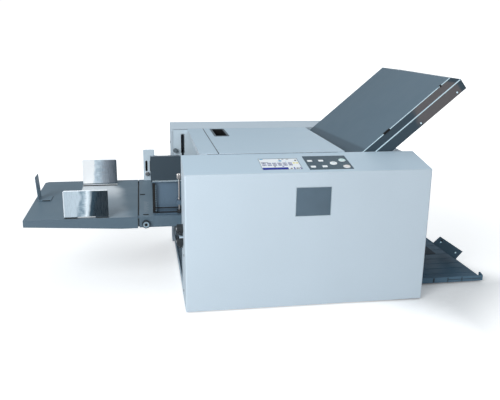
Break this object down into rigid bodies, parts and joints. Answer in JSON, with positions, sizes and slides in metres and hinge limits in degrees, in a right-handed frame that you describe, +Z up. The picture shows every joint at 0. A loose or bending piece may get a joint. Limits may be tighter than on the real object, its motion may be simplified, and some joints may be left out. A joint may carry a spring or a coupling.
{
  "type": "paper folding machine",
  "caption": "Tabletop friction-feed paper folding machine with a lifting feed table, side guides, steep upper fold plate, pull-out lower fold plate and ribbed delivery tray.",
  "frame": {"origin": "on the ground, under the middle of the whole machine to within 3 mm", "axes": "+X from the feed table to the delivery tray, +Y from the operator's side to the back, +Z up"},
  "size_m": [1.1214, 0.535, 0.5157],
  "materials": {
    "cabinet_paint": "satin fine-textured powder coat",
    "slate_paint": "satin fine-textured powder coat",
    "frame_steel": "zinc-plated sheet",
    "bright_steel": "polished",
    "shaft_steel": "ground",
    "roller_rubber": "ground matte",
    "foot_rubber": "matte",
    "dark_plastic": "fine texture",
    "panel_plastic": "fine texture",
    "tray_plastic": "fine texture",
    "badge_plastic": "blank face",
    "screen_glass": "clear window over a lit display",
    "key_grey": "satin",
    "key_green": "satin",
    "key_orange": "satin",
    "board_green": "solder mask",
    "motor_metal": "satin",
    "belt_rubber": "matte",
    "bearing_bronze": "sintered",
    "knob_metal": "knurled"
  },
  "bodies": {
    "chassis": {"base_plate": "cabinet_paint", "rubber_feet": "foot_rubber", "front_frame": "frame_steel", "rear_frame": "cabinet_paint", "tie_bars": "frame_steel", "front_cabinet": "cabinet_paint", "rear_cabinet": "cabinet_paint", "name_badge": "badge_plastic", "display_screen": "screen_glass", "control_panel": "panel_plastic", "control_board": "board_green", "power_panel": "dark_plastic", "cabinet_fasteners": "bright_steel", "top_deck": "cabinet_paint", "end_cover": "cabinet_paint", "infeed_guide": "frame_steel", "separator_pad": "roller_rubber", "drive_motor": "motor_metal", "drive_belts": "belt_rubber", "roller_bushes": "bearing_bronze", "lift_guide_rods": "shaft_steel", "delivery_chute": "tray_plastic", "delivery_tray": "tray_plastic"},
    "feed_table": {"table_plate": "slate_paint", "lift_carriage": "frame_steel", "guide_bracket": "cabinet_paint"},
    "extension": {"table_extension": "slate_paint"},
    "front_plate": {"front_paper_plate": "bright_steel"},
    "rear_plate": {"rear_paper_plate": "bright_steel"},
    "paper_end_stop": {"end_stop": "slate_paint"},
    "front_side_guide": {"front_guide": "slate_paint"},
    "rear_side_guide": {"rear_guide": "slate_paint"},
    "clamp_knob": {"guide_clamp": "knob_metal"},
    "table_knob": {"apron_knob": "dark_plastic"},
    "bracket_screw": {"bracket_thumbscrew": "bright_steel"},
    "cover": {"top_cover": "cabinet_paint", "cover_handle": "dark_plastic"},
    "upper_fold_plate": {"fold_plate_1_upper": "slate_paint", "fold_plate_1_lower": "slate_paint"},
    "upper_stop": {"fold_stop_1": "frame_steel"},
    "lower_fold_plate": {"fold_plate_2": "slate_paint"},
    "lower_stop": {"fold_stop_2": "frame_steel"},
    "catch_a": {"upper_catch": "dark_plastic"},
    "catch_b": {"lower_catch": "dark_plastic"},
    "feed_shaft": {"feed_roller": "roller_rubber"},
    "roller_1": {"fold_roller_1": "shaft_steel"},
    "roller_2": {"fold_roller_2": "shaft_steel"},
    "roller_3": {"fold_roller_3": "shaft_steel"},
    "roller_4": {"fold_roller_4": "shaft_steel"},
    "motor_armature": {"motor_rotor": "shaft_steel"},
    "exit_arm": {"delivery_arm": "tray_plastic"},
    "exit_wheels": {"stacker_wheels": "foot_rubber"},
    "switch_rocker": {"power_switch": "dark_plastic"},
    "key_up_cap": {"key_up": "key_grey"},
    "key_plus_cap": {"key_plus": "key_grey"},
    "key_down_cap": {"key_down": "key_grey"},
    "key_minus_cap": {"key_minus": "key_grey"},
    "key_test_cap": {"key_test": "key_grey"},
    "key_start_cap": {"key_start": "key_green"},
    "key_stop_cap": {"key_stop": "key_orange"}
  },
  "joints": [
    {"name": "table_lift", "type": "slide", "parent": "chassis", "child": "feed_table", "axis": [0, 0, 1], "range_m": [0, 0.05]},
    {"name": "extension_fold", "type": "hinge", "parent": "feed_table", "child": "extension", "pos_m": [-0.3075, 0.034, 0.1932], "axis": [0, 1, 0], "range_deg": [0, 50]},
    {"name": "front_plate_slide", "type": "slide", "parent": "extension", "child": "front_plate", "axis": [0, 1, 0], "range_m": [0, 0.1]},
    {"name": "rear_plate_slide", "type": "slide", "parent": "extension", "child": "rear_plate", "axis": [0, 1, 0], "range_m": [-0.1, 0.03]},
    {"name": "end_stop_slide", "type": "slide", "parent": "extension", "child": "paper_end_stop", "axis": [1, 0, 0], "range_m": [0, 0.06]},
    {"name": "side_guide_slide", "type": "slide", "parent": "feed_table", "child": "front_side_guide", "axis": [0, 1, 0], "range_m": [0, 0.09]},
    {"name": "rear_guide_slide", "type": "slide", "parent": "feed_table", "child": "rear_side_guide", "axis": [0, 1, 0], "range_m": [-0.09, 0]},
    {"name": "clamp_knob_turn", "type": "hinge", "parent": "front_side_guide", "child": "clamp_knob", "pos_m": [-0.2125, -0.1375, 0.256], "axis": [0, 0, 1], "range_deg": [0, 120]},
    {"name": "table_knob_turn", "type": "hinge", "parent": "feed_table", "child": "table_knob", "pos_m": [-0.2905, -0.156, 0.1786], "axis": [0, 1, 0], "range_deg": [0, 120]},
    {"name": "bracket_screw_turn", "type": "hinge", "parent": "feed_table", "child": "bracket_screw", "pos_m": [-0.282, 0.208, 0.215], "axis": [0, 1, 0], "range_deg": [0, 120]},
    {"name": "cover_hinge", "type": "hinge", "parent": "chassis", "child": "cover", "pos_m": [0.172, 0.034, 0.331], "axis": [0, 1, 0], "range_deg": [0, 65]},
    {"name": "upper_plate_lift_out", "type": "slide", "parent": "chassis", "child": "upper_fold_plate", "axis": [0.7604, 0, 0.6494], "range_m": [0, 0.12]},
    {"name": "upper_stop_slide", "type": "slide", "parent": "upper_fold_plate", "child": "upper_stop", "axis": [0.7604, 0, 0.6494], "range_m": [-0.15, 0.06]},
    {"name": "lower_plate_pull_out", "type": "slide", "parent": "chassis", "child": "lower_fold_plate", "axis": [-0.9272, 0, -0.3746], "range_m": [0, 0.07]},
    {"name": "lower_stop_slide", "type": "slide", "parent": "lower_fold_plate", "child": "lower_stop", "axis": [-0.9272, 0, -0.3746], "range_m": [-0.15, 0.12]},
    {"name": "catch_a_turn", "type": "hinge", "parent": "chassis", "child": "catch_a", "pos_m": [-0.213, -0.197, 0.178], "axis": [1, 0, 0], "range_deg": [-60, 0]},
    {"name": "catch_b_turn", "type": "hinge", "parent": "chassis", "child": "catch_b", "pos_m": [-0.213, -0.197, 0.1485], "axis": [1, 0, 0], "range_deg": [-60, 0]},
    {"name": "main_roller_spin", "type": "hinge", "parent": "chassis", "child": "roller_3", "pos_m": [0.1984, 0.034, 0.2378], "axis": [0, 1, 0], "continuous": true},
    {"name": "roller_1_spin", "type": "hinge", "parent": "chassis", "child": "roller_1", "pos_m": [0.162, 0.034, 0.2742], "axis": [0, 1, 0], "continuous": true},
    {"name": "roller_2_spin", "type": "hinge", "parent": "chassis", "child": "roller_2", "pos_m": [0.162, 0.034, 0.2378], "axis": [0, 1, 0], "continuous": true},
    {"name": "roller_4_spin", "type": "hinge", "parent": "chassis", "child": "roller_4", "pos_m": [0.1984, 0.034, 0.2014], "axis": [0, 1, 0], "continuous": true},
    {"name": "feed_roller_spin", "type": "hinge", "parent": "chassis", "child": "feed_shaft", "pos_m": [-0.105, 0.034, 0.277], "axis": [0, 1, 0], "continuous": true},
    {"name": "motor_spin", "type": "hinge", "parent": "chassis", "child": "motor_armature", "pos_m": [0.27, 0.23, 0.06], "axis": [0, 1, 0], "continuous": true},
    {"name": "exit_arm_lift", "type": "hinge", "parent": "chassis", "child": "exit_arm", "pos_m": [0.49064, -0.072, 0.07147], "axis": [0, -1, 0], "range_deg": [0, 35]},
    {"name": "exit_wheel_spin", "type": "hinge", "parent": "exit_arm", "child": "exit_wheels", "pos_m": [0.53585, -0.033, 0.04013], "axis": [0, 1, 0], "continuous": true},
    {"name": "key_up_press", "type": "slide", "parent": "chassis", "child": "key_up_cap", "axis": [0, 0.1812, -0.9835], "range_m": [0, 0.001], "stiffness_N_per_m": 400, "springref_m": -0.0005},
    {"name": "key_plus_press", "type": "slide", "parent": "chassis", "child": "key_plus_cap", "axis": [0, 0.1812, -0.9835], "range_m": [0, 0.001], "stiffness_N_per_m": 400, "springref_m": -0.0005},
    {"name": "key_down_press", "type": "slide", "parent": "chassis", "child": "key_down_cap", "axis": [0, 0.1812, -0.9835], "range_m": [0, 0.001], "stiffness_N_per_m": 400, "springref_m": -0.0005},
    {"name": "key_minus_press", "type": "slide", "parent": "chassis", "child": "key_minus_cap", "axis": [0, 0.1812, -0.9835], "range_m": [0, 0.001], "stiffness_N_per_m": 400, "springref_m": -0.0005},
    {"name": "key_test_press", "type": "slide", "parent": "chassis", "child": "key_test_cap", "axis": [0, 0.1812, -0.9835], "range_m": [0, 0.001], "stiffness_N_per_m": 400, "springref_m": -0.0005},
    {"name": "key_start_press", "type": "slide", "parent": "chassis", "child": "key_start_cap", "axis": [0, 0.1812, -0.9835], "range_m": [0, 0.001], "stiffness_N_per_m": 400, "springref_m": -0.0005},
    {"name": "key_stop_press", "type": "slide", "parent": "chassis", "child": "key_stop_cap", "axis": [0, 0.1812, -0.9835], "range_m": [0, 0.001], "stiffness_N_per_m": 400, "springref_m": -0.0005},
    {"name": "power_switch_rock", "type": "hinge", "parent": "chassis", "child": "switch_rocker", "pos_m": [0, 0.2575, 0.07], "axis": [1, 0, 0], "range_deg": [-6, 6]}
  ],
  "couplings": [
    {"joint": "roller_1_spin", "follows": "main_roller_spin", "ratio": 1},
    {"joint": "roller_2_spin", "follows": "main_roller_spin", "ratio": -1},
    {"joint": "roller_4_spin", "follows": "main_roller_spin", "ratio": -1},
    {"joint": "feed_roller_spin", "follows": "main_roller_spin", "ratio": 1},
    {"joint": "motor_spin", "follows": "main_roller_spin", "ratio": 1.7778},
    {"joint": "rear_guide_slide", "follows": "side_guide_slide", "ratio": -1}
  ]
}
